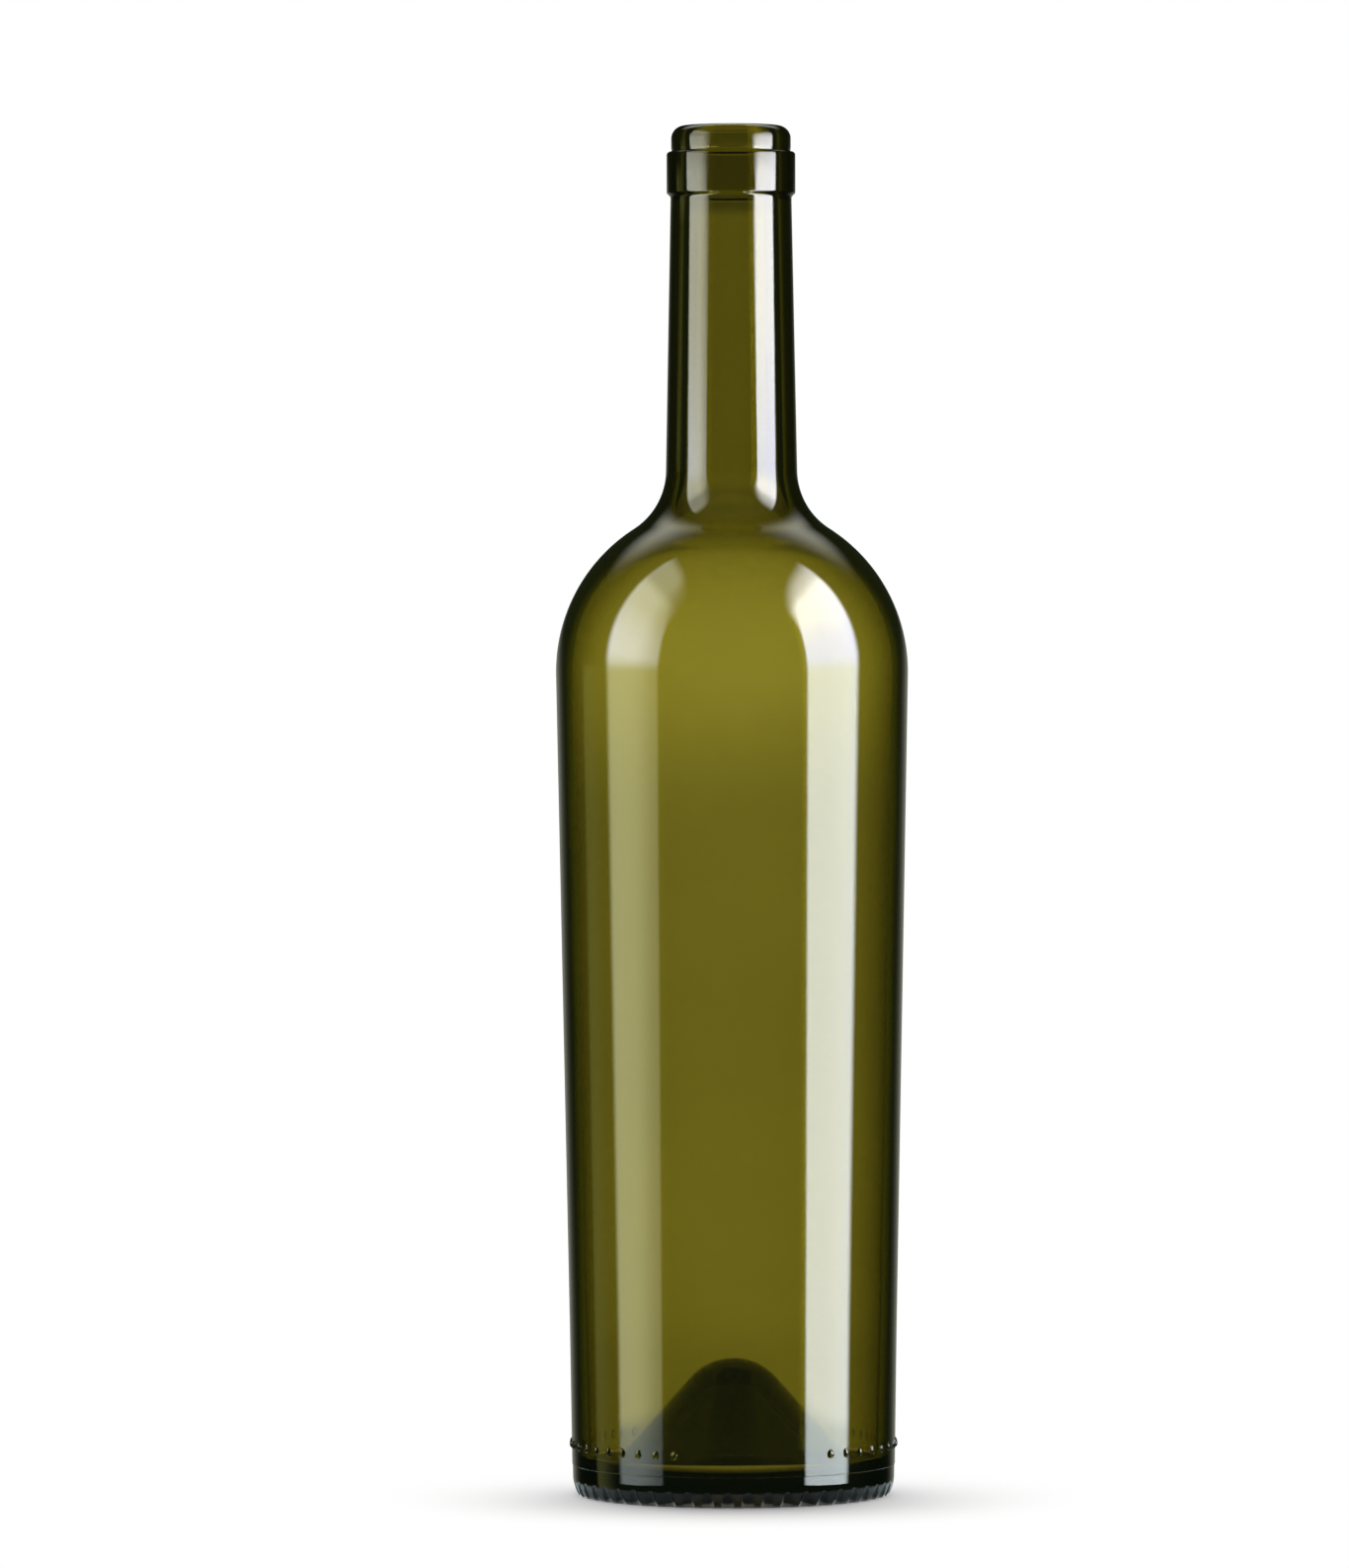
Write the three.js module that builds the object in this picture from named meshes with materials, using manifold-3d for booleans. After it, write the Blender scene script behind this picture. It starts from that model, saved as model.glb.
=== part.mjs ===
// Tapered bordeaux wine bottle, empty and open: one moulded piece of olive-green glass.
// Millimetres, +Z up. The origin is on the bottle's axis, in the plane that it stands on.
import * as THREE from "three";
import { mergeVertices, toCreasedNormals } from "three/addons/utils/BufferGeometryUtils.js";
import Module from "manifold-3d";

// Driving dimensions of the outside
const HEIGHT = 315;
const BASE_DIAMETER = 74; // where the heel turns into the body
const SHOULDER_DIAMETER = 81; // widest point of the bottle
const SHOULDER_HEIGHT = 189.5; // level of the shoulder's centre of curvature
const SHOULDER_RADIUS = 39;
const NECK_FILLET = 16; // hollow curve from the shoulder into the neck
const NECK_TAPER = 1.1; // degrees, widening downwards

// The finish: a rounded lip above a square-shouldered ring
const LIP_DIAMETER = 27.5;
const LIP_HEIGHT = 6; // mouth down to the top of the ring
const LIP_ROUND = 3;
const LIP_LAND = 0.9; // least flat top left for sealing
const RING_STEP = 1.05; // the ring's reach beyond the lip
const RING_OVERHANG = 0.9; // the ring's reach beyond the neck under it
const RING_HEIGHT = 9.5;
const RING_ROUND = 0.8; // upper edge of the ring

// The inside: a cork bore, and walls that grow thicker towards the base
const BORE_DIAMETER = 18.5; // at the mouth
const BORE_ROUND = 0.6; // inner edge of the mouth
const BORE_TAPER = 1; // degrees, widening downwards
const BORE_FILLET = 20; // from the bore into the inside of the shoulder
const SHOULDER_WALL = 3.5;
const HEEL_WALL = 4.05;

// The base: heel, bearing ring and punt
const HEEL_HEIGHT = 4.2;
const HEEL_SETBACK = 1.25; // how far the standing edge lies inside the heel
const BEARING_WIDTH = 4; // flat ring that the bottle stands on
const BEARING_ROUND = 3.5; // from the bearing ring into the punt
const BASE_THICKNESS = 6.5; // glass under the trough round the punt
const TROUGH_RADIUS = 3.5;
const PUNT_HEIGHT = 26.3; // hollow under the base
const PUNT_DOME = 10.5; // radius of the hollow's crown
const PUNT_THICKNESS = 5; // glass over the crown
const PUNT_CROWN = 13.3; // radius of the same crown inside the bottle

// Scalloped knurling round the standing edge
const KNURL_COUNT = 50;
const KNURL_RADIUS = 2; // of one scallop's round section
const KNURL_DEPTH = 0.6; // at the standing edge
const KNURL_TILT = 62; // degrees, lean of a scallop from the floor

// Fineness of the facets
const SEGMENTS = 64; // round the axis
const KNURL_SIDES = 16;
const CHORD_ERROR = 0.08; // a facet's greatest distance from its arc
const CREASE = 25; // degrees, sharper edges stay sharp

const wasm = await Module();
wasm.setup();

// A point of an outline: x is its distance from the axis, y its height.
const at = (radius, height) => new THREE.Vector2(radius, height);
const turned = (vector, angle) => vector.clone().rotateAround(at(0, 0), angle);
const along = (start, direction, distance) => start.clone().addScaledVector(direction, distance);

// Half of a section through the bottle, drawn as straight and round stretches.
class Outline {
  constructor(start) {
    this.points = [start];
  }

  lineTo(end) {
    this.points.push(end);
    return this;
  }

  // Goes the short way round the centre, in chords that stay close to the arc.
  arcTo(end, centre) {
    const from = this.points.at(-1).clone().sub(centre);
    const to = end.clone().sub(centre);
    const sweep = Math.atan2(from.cross(to), from.dot(to));
    const chord = 2 * Math.acos(1 - CHORD_ERROR / from.length());
    const steps = Math.ceil(Math.abs(sweep) / chord);
    for (let i = 1; i < steps; i += 1) {
      this.points.push(turned(from, (sweep * i) / steps).add(centre));
    }
    return this.lineTo(end);
  }
}

// The line that leaves a point and touches a circle on its outer side.
function outerTangent(point, circle) {
  const toCentre = circle.centre.clone().sub(point);
  const distance = toCentre.length();
  const direction = turned(toCentre.normalize(), -Math.asin(circle.radius / distance));
  const touch = along(point, direction, Math.sqrt(distance ** 2 - circle.radius ** 2));
  return { direction, outward: turned(direction, -Math.PI / 2), touch };
}

// The hollow curve between a line that comes down the neck and the shoulder's circle below it.
function neckFillet(start, taper, circle, radius) {
  const direction = turned(at(0, -1), THREE.MathUtils.degToRad(taper));
  const outward = turned(direction, Math.PI / 2);
  const offset = along(start, outward, radius);
  const fromCircle = offset.clone().sub(circle.centre);
  const reach = circle.radius + radius;
  const slant = fromCircle.dot(direction);
  const travel = -slant - Math.sqrt(slant ** 2 - fromCircle.lengthSq() + reach ** 2);
  const centre = along(offset, direction, travel);
  return {
    centre,
    onNeck: along(centre, outward, -radius),
    onShoulder: circle.centre.clone().lerp(centre, circle.radius / reach),
  };
}

// The straight flank between a crown on the axis and a round foot that curves the other way.
function flank(crown, foot) {
  const across = foot.centre.clone().sub(crown.centre);
  const lean = Math.acos((crown.radius + foot.radius) / across.length());
  const normal = turned(across.normalize(), lean);
  return {
    onCrown: along(crown.centre, normal, crown.radius),
    onFoot: along(foot.centre, normal, -foot.radius),
  };
}

// Heel and body
const heelTop = at(BASE_DIAMETER / 2, HEEL_HEIGHT);
const standingEdge = at(heelTop.x - HEEL_SETBACK, 0);
const shoulder = {
  centre: at(SHOULDER_DIAMETER / 2 - SHOULDER_RADIUS, SHOULDER_HEIGHT),
  radius: SHOULDER_RADIUS,
};
const body = outerTangent(heelTop, shoulder);
const heelChord = standingEdge.clone().sub(heelTop);
const heelRadius = heelChord.lengthSq() / (-2 * heelChord.dot(body.outward));
const heelCentre = along(heelTop, body.outward, -heelRadius);

// Finish and neck
const boreRadius = BORE_DIAMETER / 2;
const lipRadius = LIP_DIAMETER / 2;
const ringRadius = lipRadius + RING_STEP;
const ringTop = HEIGHT - LIP_HEIGHT;
const ringFoot = ringTop - RING_HEIGHT;
const ringRound = Math.min(RING_ROUND, RING_STEP);
const ringCentre = at(ringRadius - ringRound, ringTop - ringRound);
const lipRound = Math.min(LIP_ROUND, lipRadius - boreRadius - BORE_ROUND - LIP_LAND);
const lipCentre = at(lipRadius - lipRound, HEIGHT - lipRound);
const neckTop = at(ringRadius - RING_OVERHANG, ringFoot - RING_OVERHANG);
const neck = neckFillet(neckTop, NECK_TAPER, shoulder, NECK_FILLET);

// Inside of the neck, shoulder and body
const boreTop = at(boreRadius, HEIGHT - BORE_ROUND);
const boreCentre = at(boreRadius + BORE_ROUND, HEIGHT - BORE_ROUND);
const innerShoulder = { centre: shoulder.centre, radius: SHOULDER_RADIUS - SHOULDER_WALL };
const bore = neckFillet(boreTop, BORE_TAPER, innerShoulder, BORE_FILLET);
const innerHeel = along(heelTop, body.outward, -HEEL_WALL);
const innerWall = outerTangent(innerHeel, innerShoulder);

// Punt: a round crown and a straight flank under and over the glass, each with a round foot
const crownTop = at(0, PUNT_HEIGHT);
const insideTop = at(0, PUNT_HEIGHT + PUNT_THICKNESS);
const crownUnder = { centre: along(crownTop, at(0, -1), PUNT_DOME), radius: PUNT_DOME };
const crownInside = { centre: along(insideTop, at(0, -1), PUNT_CROWN), radius: PUNT_CROWN };
const bearingInner = at(standingEdge.x - BEARING_WIDTH, 0);
const bearingNose = { centre: along(bearingInner, at(0, 1), BEARING_ROUND), radius: BEARING_ROUND };
const troughLevel = BASE_THICKNESS + TROUGH_RADIUS;
const troughLine = along(innerHeel, innerWall.outward, -TROUGH_RADIUS);
const troughRise = (troughLevel - troughLine.y) / innerWall.direction.y;
const trough = { centre: along(troughLine, innerWall.direction, troughRise), radius: TROUGH_RADIUS };
const puntUnder = flank(crownUnder, bearingNose);
const puntInside = flank(crownInside, trough);

// One outline goes from the hollow under the base, up the outside, over the lip and down the inside.
function bottleOutline() {
  return new Outline(crownTop)
    .arcTo(puntUnder.onCrown, crownUnder.centre)
    .lineTo(puntUnder.onFoot)
    .arcTo(bearingInner, bearingNose.centre)
    .lineTo(standingEdge)
    .arcTo(heelTop, heelCentre)
    .lineTo(body.touch)
    .arcTo(neck.onShoulder, shoulder.centre)
    .arcTo(neck.onNeck, neck.centre)
    .lineTo(neckTop)
    .lineTo(at(ringRadius, ringFoot))
    .lineTo(at(ringRadius, ringCentre.y))
    .arcTo(at(ringCentre.x, ringTop), ringCentre)
    .lineTo(at(lipRadius, ringTop))
    .lineTo(at(lipRadius, lipCentre.y))
    .arcTo(at(lipCentre.x, HEIGHT), lipCentre)
    .lineTo(at(boreCentre.x, HEIGHT))
    .arcTo(boreTop, boreCentre)
    .lineTo(bore.onNeck)
    .arcTo(bore.onShoulder, bore.centre)
    .arcTo(innerWall.touch, innerShoulder.centre)
    .lineTo(along(trough.centre, innerWall.outward, TROUGH_RADIUS))
    .arcTo(puntInside.onFoot, trough.centre)
    .lineTo(puntInside.onCrown)
    .arcTo(insideTop, crownInside.centre);
}

// A three.js geometry as a solid that can be cut.
function solidOf(geometry) {
  const bare = new THREE.BufferGeometry().setIndex(geometry.index);
  bare.setAttribute("position", geometry.getAttribute("position"));
  const merged = mergeVertices(bare);
  return new wasm.Manifold(
    new wasm.Mesh({
      numProp: 3,
      vertProperties: merged.getAttribute("position").array,
      triVerts: new Uint32Array(merged.index.array),
    }),
  );
}

// A solid as a three.js geometry again, smooth apart from its real edges.
function geometryOf(solid) {
  const { vertProperties, triVerts } = solid.getMesh();
  const geometry = new THREE.BufferGeometry();
  geometry.setAttribute("position", new THREE.BufferAttribute(vertProperties, 3));
  geometry.setIndex(new THREE.BufferAttribute(triVerts, 1));
  return toCreasedNormals(geometry, THREE.MathUtils.degToRad(CREASE));
}

// The section spun round the axis, which a lathe keeps along Y, and then stood up along Z.
function blownGlass() {
  return solidOf(new THREE.LatheGeometry(bottleOutline().points, SEGMENTS).rotateX(Math.PI / 2));
}

// One round cutter that leans across the standing edge and dies out up the heel.
function scallopCutter(turn) {
  const tilt = THREE.MathUtils.degToRad(KNURL_TILT);
  const length = 4 * HEEL_HEIGHT;
  const cutter = new THREE.CylinderGeometry(KNURL_RADIUS, KNURL_RADIUS, length, KNURL_SIDES);
  const outOfEdge = at(Math.sin(tilt), -Math.cos(tilt));
  const axis = along(standingEdge, outOfEdge, KNURL_RADIUS - KNURL_DEPTH);
  cutter.rotateX(Math.PI / 2);
  cutter.rotateY(Math.PI / 2 - tilt);
  cutter.translate(axis.x, 0, axis.y);
  cutter.rotateZ(turn);
  return solidOf(cutter);
}

function knurledBottle() {
  let glass = blownGlass();
  for (let i = 0; i < KNURL_COUNT; i += 1) {
    glass = glass.subtract(scallopCutter(((i + 0.5) * 2 * Math.PI) / KNURL_COUNT));
  }
  return geometryOf(glass);
}

const oliveGlass = new THREE.MeshStandardMaterial({
  color: new THREE.Color().setRGB(0.16, 0.14, 0.02),
  roughness: 0.04,
  metalness: 0,
  transparent: true,
  opacity: 0.75,
});

const glassBottle = new THREE.Mesh(knurledBottle(), oliveGlass);
glassBottle.name = "glass_bottle";

const bordeauxBottle = new THREE.Group();
bordeauxBottle.name = "bordeaux_bottle";
bordeauxBottle.add(glassBottle);

export default bordeauxBottle;
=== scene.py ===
"""An empty, open bordeaux wine bottle of olive-green glass on a white studio floor.

The glass is one piece. Its outline is drawn here from the same sizes as the solid, turned about
the bottle's axis by Geometry Nodes, and given its knurled standing edge and its row of heel dots.
"""

import cmath
import math

import bpy
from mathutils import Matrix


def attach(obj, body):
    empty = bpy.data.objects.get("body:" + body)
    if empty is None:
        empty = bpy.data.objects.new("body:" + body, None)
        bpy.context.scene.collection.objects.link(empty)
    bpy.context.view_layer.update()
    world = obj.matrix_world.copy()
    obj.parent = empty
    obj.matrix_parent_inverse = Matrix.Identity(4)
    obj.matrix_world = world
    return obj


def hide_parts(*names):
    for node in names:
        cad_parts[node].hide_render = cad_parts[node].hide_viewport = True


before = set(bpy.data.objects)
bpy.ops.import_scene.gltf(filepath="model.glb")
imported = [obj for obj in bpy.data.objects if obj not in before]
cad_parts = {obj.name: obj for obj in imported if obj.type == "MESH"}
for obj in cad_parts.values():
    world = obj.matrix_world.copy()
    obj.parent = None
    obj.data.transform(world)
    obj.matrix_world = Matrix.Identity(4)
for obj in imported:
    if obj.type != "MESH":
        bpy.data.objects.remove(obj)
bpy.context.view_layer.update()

MM = 0.001
DEGREE = math.pi / 180
WHITE = (1, 1, 1)

# Outside of the bottle, in millimetres and degrees
HEIGHT = 315
BASE_DIAMETER = 74
SHOULDER_DIAMETER = 81
SHOULDER_HEIGHT = 189.5
SHOULDER_RADIUS = 39
NECK_FILLET = 16
NECK_TAPER = 1.1

# Cork finish
LIP_DIAMETER = 27.5
LIP_HEIGHT = 6
LIP_ROUND = 3
RING_STEP = 1.05
RING_OVERHANG = 0.9
RING_HEIGHT = 9.5
RING_ROUND = 0.8
RING_FOOT_ROUND = 0.35
GROOVE_DEPTH = 0.15
GROOVE_SLOPE = 5
GROOVE_ROUND = 0.2
NECK_TOP_ROUND = 0.9
BORE_DIAMETER = 18.5
BORE_ROUND = 0.6
BORE_TAPER = 1
BORE_FILLET = 20

# Walls, heel and punt
SHOULDER_WALL = 3.5
HEEL_WALL = 4.05
HEEL_HEIGHT = 4.2
HEEL_SETBACK = 1.25
PARTING_HEIGHT = 6.9
PARTING_STEP = 0.12
PARTING_FADE = 34
BEARING_WIDTH = 4
BEARING_ROUND = 3.5
BASE_THICKNESS = 6.5
TROUGH_RADIUS = 3.5
PUNT_HEIGHT = 26.3
PUNT_DOME = 10.5
PUNT_THICKNESS = 5
PUNT_CROWN = 13.3

# Places on the section that follow from these sizes, as distance from the axis + height j
HEEL_TOP = complex(BASE_DIAMETER / 2, HEEL_HEIGHT)
STANDING_EDGE = complex(BASE_DIAMETER / 2 - HEEL_SETBACK, 0)
SHOULDER = complex(SHOULDER_DIAMETER / 2 - SHOULDER_RADIUS, SHOULDER_HEIGHT)
LIP_TOP = complex(LIP_DIAMETER / 2, HEIGHT)
RING_TOP = complex(LIP_TOP.real + RING_STEP, HEIGHT - LIP_HEIGHT)
RING_FOOT = RING_TOP - 1j * RING_HEIGHT
NECK_TOP = RING_FOOT - complex(RING_OVERHANG, RING_OVERHANG)
BORE_TOP = complex(BORE_DIAMETER / 2, HEIGHT - BORE_ROUND)

# Knurled standing edge
KNURL_COUNT = 50
KNURL_RADIUS = 2
KNURL_DEPTH = 0.6
KNURL_TILT = 62
KNURL_LENGTH = 14
KNURL_TURN = -2.5

# Raised dots on the heel, with none at the front between the two gap angles
DOT_COUNT = 50
DOT_HEIGHT = 11.8
DOT_WIDTH = 1.7
DOT_TALL = 2.1
DOT_PROUD = 0.6
DOT_TURN = 0
DOT_GAP_START = -15
DOT_GAP_END = 33

# Fineness of the mesh: a chord's sag is at most the error, and at most this share of its radius
SEGMENTS = 240
CHORD_ERROR = 0.005
LARGEST_SAG = 0.05
FEWEST_CHORDS = 3
ROW_STEP = 6
HEEL_STEP = 3
FINE_STEP = 1
MERGE_DISTANCE = 0.001
KNURL_SIDES = 32
DOT_SUBDIVISIONS = 3
SHARP_ANGLE = 24

# Waviness of the blown inner wall
RIPPLE_DEPTH = 0.16
RIPPLE_SCALE = 26.0
RIPPLE_DETAIL = 1.0

# Light that a metre of the glass takes off, for red, green and blue
ABSORPTION = (170, 191, 540)
ABSORPTION_DENSITY = 600
GLASS_IOR = 1.52

# Fire-polished skin: broad noise for its tint and its bumps, in metres, and fine noise for its haze
BROAD_NOISE = {"Scale": 34.0, "Detail": 2.0}
FINE_NOISE = {"Scale": 420.0, "Detail": 3.0}
NOISE_RANGE = (0.3, 0.7)
SKIN_TINT = (0.96, 1.0)
SKIN_ROUGHNESS = (0.002, 0.012)
BUMP_STRENGTH = 0.05
BUMP_DISTANCE = 0.0004

# Painted shade: the glass's colour darkened at its edges, where it is seen at a slant
SLANT = (0.25, 0.75)
SLANT_PAINTED_SHADE = 0.56

# Deeper colour at the root of the neck, in metres
ROOT_FOOT = (0.2165, 0.2245)
ROOT_TOP = (0.2265, 0.2335)
ROOT_DEPTH = 0.36

# Painted shade at the foot of the heel: the glass's colour darkened below these heights, in metres
HEEL_PAINTED_SHADE_SPAN = (0.0045, 0.0075)
HEEL_PAINTED_SHADE = 0.12

# Light that a surface of the glass lets through to the floor: nearly none at the thick heel
DARK_HEEL = (0.011, 0.017)
HEEL_SHADE = 0.02
WALL_SHADE = 0.995

# Crossings of the glass that tell how light came: fewer within the near wall, more by the punt
NEAR_WALL_CROSSINGS = 2.5
PUNT_CROSSINGS = 5.5

# View of the photograph, in metres and degrees
CAMERA_DISTANCE = 2.1
CAMERA_HEIGHT = 0.2036
CAMERA_SIDE = -0.0132
AIM_HEIGHT = 0.1636
FRAME_HEIGHT = 0.3611
CAMERA_ROLL = 0.12
SENSOR = 36
CLIP_START = 0.01
CLIP_END = 50

# Floor, in metres, and its levels, where 1 is white
FLOOR_RADIUS = 0.25
FLOOR_SIDES = 128
FLOOR_DROP = 0.0001
FLOOR_SEEN_IN_GLASS = (0.042, 0.049)
FLOOR_PLAIN_WHITE = (0.034, 0.086)
FLOOR_COLOUR = (0.8, 0.8, 0.8)
# Painted reflection: a cooler floor colour, seen only in the rays that the glass mirrors
FLOOR_MIRRORED = (0.8, 1, 0.98)
FLOOR_GLOW = 0.2
FLOOR_THROUGH = 0.4
# Painted highlight: a glowing ring of floor under the standing edge, seen only mirrored in the
# glass, and weaker under the bottle
FLOOR_EDGE = (0.0358, 0.0365)
FLOOR_EDGE_GLOW = 1.1
FLOOR_UNDER = (0.03, 0.034)
FLOOR_UNDER_SHARE = 0.1

# Soft light on the floor, much stronger from the back
SOFT_FRONT = 0.2
SOFT_BACK = 2.2
SOFT_TURN = (-0.3, 0.6)

# Lit screen round the bottle, seen only through it: metres, and levels where 1 is white
SCREEN_RADIUS = 0.1
SCREEN_SIDES = 96
SCREEN_FOOT = -0.03
SCREEN_TOP = 0.36
SCREEN_LOW = 0.55
SCREEN_HIGH = 0.915
SCREEN_RISE = (0.153, 0.192)
SCREEN_FALL = (0.198, 0.232)
SCREEN_FALL_TO = 0.82
SCREEN_END = (0.229, 0.234)
SCREEN_END_TO = 0.56
SCREEN_DUSK = (0.299, 0.305)
SCREEN_DUSK_TO = 0.49
SCREEN_MOUTH = (0.313, 0.317)
SCREEN_MOUTH_TO = 1.6
SCREEN_SWELL = (0.095, 0.068)
SCREEN_SWELL_TO = 1.1
SCREEN_SILL = (0.036, 0.022)
SCREEN_SILL_TO = 0.88
THROUGH_PUNT = (0.1, 0.16, 0.5)

# What shows through the glass past the screen: dim above, and white below these degrees
PAST_SCREEN = 0.3
WHITE_BELOW = (-12, -7)

# Dim room that the glass mirrors: levels, and angles in degrees from the front and the level
ROOM_TINT = (0.65, 1, 0.5)
ROOM_FRONT = 0.1
ROOM_BACK = 0.025
ROOM_TURN = (80, 130)

# What the near wall shows of the room from within
WITHIN_TINT = (0.85, 1, 0.6)
WITHIN_FRONT = 0.03
WITHIN_BACK = 0.28
WITHIN_TURN = (133, 140)
WITHIN_EDGE = (138, 156)
WITHIN_EDGE_TO = 0.25

# Pale wall low behind the bottle, a faint card on its left, and a lamp behind and above it
BACK_LEVEL = 0.33
BACK_NEAR = (142, 172)
BACK_FAR = (168, 177)
BACK_TOP = (-1, 6)
CARD_TINT = (0.95, 1, 0.3)
CARD_LEVEL = 0.45
CARD_NEAR = (92, 111)
CARD_FAR = (113, 117)
CARD_TOP = (0, 5)
LAMP_TINT = (1, 1, 0.85)
LAMP_LEVEL = 1.75
LAMP_NEAR = (119, 151)
LAMP_FOOT = (28, 46)
LAMP_TOP = (44, 70)

# Two tall soft boxes beside the bottle, in metres: a flat panel each, lit on part of it
BOX_REACH = 0.115
BOX_PANEL_BACK = 0.02
BOX_PANEL_FRONT = -0.2
BOX_PANEL_SPARE = 0.03
BOX_BACK = -0.029
BOX_BACK_LEAN = 0.1
BOX_FRONT = -0.11
BOX_FRONT_LEAN = -0.045
BOX_FOOT_BACK = -0.0045
BOX_FOOT_FRONT = -0.0169
BOX_CORNER = 0.065
BOX_EDGE = 0.005
BOX_SOFT_TOP = (0.25, 0.36)
BOX_SOFT_EDGE = 0.035
BOX_FADE_WIDTH = 0.055
BOX_WITHIN = 0.3

# Heights where a soft box goes over into its next level: foot, low, high and head
BOX_TOE = (0.005, 0.011)
BOX_BREAK = (0.188, 0.21)
BOX_HEAD = (0.215, 0.29)
BOX_CROWN = (0.3, 0.34)
BOX_CROWN_TO = 0.5
LEFT_BOX_LEVELS = ((2.3, 2.7, 2.55), (4.7, 4.8, 2.75), (9.5, 9.8, 10), (6.8, 6.9, 5.7))
LEFT_BOX_TOP = 0.42
LEFT_BOX_FADE = 0.5
RIGHT_BOX_LEVELS = ((8.8, 9.9, 10), (11.9, 12.6, 12.4), (13.6, 14.2, 18.2), (18, 18, 18))
RIGHT_BOX_TOP = 0.365
RIGHT_BOX_FADE = 1.0


def dot(a, b):
    """The scalar product of two outline vectors, held as complex numbers r + jz."""
    return a.real * b.real + a.imag * b.imag


def outer_tangent(point, radius):
    """Where the line from point touches a shoulder on its outer side, and the line's normal."""
    reach = SHOULDER - point
    direction = reach / abs(reach) * cmath.rect(1, -math.asin(radius / abs(reach)))
    touch = point + direction * math.sqrt(abs(reach) ** 2 - radius**2)
    return touch, direction * -1j


def neck_fillet(start, taper, shoulder_radius, radius):
    """The fillet between a tapered neck that starts at a point and the shoulder below it."""
    direction = -1j * cmath.rect(1, taper * DEGREE)
    outward = direction * 1j
    offset = start + outward * radius
    from_centre = offset - SHOULDER
    slant = dot(from_centre, direction)
    across = slant**2 - abs(from_centre) ** 2 + (shoulder_radius + radius) ** 2
    fillet = offset + direction * (-slant - math.sqrt(across))
    on_neck = fillet - outward * radius
    on_shoulder = SHOULDER + (fillet - SHOULDER) * shoulder_radius / (shoulder_radius + radius)
    return fillet, on_neck, on_shoulder


def flank(crown, crown_radius, foot, foot_radius):
    """The straight flank of the punt, between its crown and the round at its foot."""
    across = foot - crown
    lean = math.acos((crown_radius + foot_radius) / abs(across))
    normal = across / abs(across) * cmath.rect(1, lean)
    return crown + normal * crown_radius, foot - normal * foot_radius


class Outline:
    """Half of the bottle's section, gathered point by point from the underside to the inside."""

    def __init__(self, start):
        self.points = [start]

    def line(self, end, step=ROW_STEP):
        """A straight run to a point, cut into even steps."""
        start = self.points[-1]
        parts = max(1, round(abs(end - start) / step))
        self.points += [start + (end - start) * i / parts for i in range(1, parts + 1)]

    def arc(self, centre, end):
        """A round run about a centre to a point."""
        spoke = self.points[-1] - centre
        turn = cmath.phase((end - centre) / spoke)
        widest = 2 * math.acos(1 - min(CHORD_ERROR / abs(spoke), LARGEST_SAG))
        parts = max(FEWEST_CHORDS, math.ceil(abs(turn) / widest))
        self.points += [centre + spoke * cmath.rect(1, turn * i / parts) for i in range(1, parts)]
        self.points.append(end)

    def corner(self, at, towards, radius):
        """A straight run that ends in a round corner and turns towards the next point."""
        back = (self.points[-1] - at) / abs(self.points[-1] - at)
        on = (towards - at) / abs(towards - at)
        half = abs(cmath.phase(on / back)) / 2
        middle = (back + on) / abs(back + on)
        self.line(at + back * radius / math.tan(half))
        self.arc(at + middle * radius / math.sin(half), at + on * radius / math.tan(half))


def draw_underside(path):
    """The punt, from its top to the bearing ring, and out to the standing edge."""
    crown = complex(0, PUNT_HEIGHT - PUNT_DOME)
    bearing_inner = STANDING_EDGE - BEARING_WIDTH
    nose = bearing_inner + 1j * BEARING_ROUND
    under_crown, under_foot = flank(crown, PUNT_DOME, nose, BEARING_ROUND)
    path.arc(crown, under_crown)
    path.line(under_foot)
    path.arc(nose, bearing_inner)
    path.line(STANDING_EDGE, FINE_STEP)


def draw_outside(path):
    """The heel with the mould's parting line, the body, the shoulder and the neck."""
    body_top, body_out = outer_tangent(HEEL_TOP, SHOULDER_RADIUS)
    heel_chord = STANDING_EDGE - HEEL_TOP
    heel_radius = abs(heel_chord) ** 2 / (-2 * dot(heel_chord, body_out))
    up_body = (body_top - HEEL_TOP) / abs(body_top - HEEL_TOP)
    below_parting = HEEL_TOP + up_body * (PARTING_HEIGHT - HEEL_HEIGHT)
    fillet, on_neck, on_shoulder = neck_fillet(NECK_TOP, NECK_TAPER, SHOULDER_RADIUS, NECK_FILLET)
    path.arc(HEEL_TOP - body_out * heel_radius, HEEL_TOP)
    path.line(below_parting, FINE_STEP)
    path.line(below_parting + (up_body + body_out) * PARTING_STEP)
    path.line(HEEL_TOP + up_body * PARTING_FADE, HEEL_STEP)
    path.line(body_top)
    path.arc(SHOULDER, on_shoulder)
    path.arc(fillet, on_neck)


def draw_finish(path):
    """The ring, the groove over it and the lip, and round the mouth into the bore."""
    groove = complex(LIP_TOP.real - GROOVE_DEPTH, RING_TOP.imag)
    groove_top = complex(LIP_TOP.real, RING_TOP.imag + GROOVE_SLOPE * GROOVE_DEPTH)
    mouth = complex(BORE_TOP.real, HEIGHT)
    path.corner(NECK_TOP, RING_FOOT, NECK_TOP_ROUND)
    path.corner(RING_FOOT, RING_TOP, RING_FOOT_ROUND)
    path.corner(RING_TOP, groove, RING_ROUND)
    path.corner(groove, groove_top, GROOVE_ROUND)
    path.corner(groove_top, LIP_TOP, GROOVE_ROUND)
    path.corner(LIP_TOP, mouth, LIP_ROUND)
    path.line(mouth + BORE_ROUND)
    path.arc(BORE_TOP + BORE_ROUND, BORE_TOP)


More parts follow.
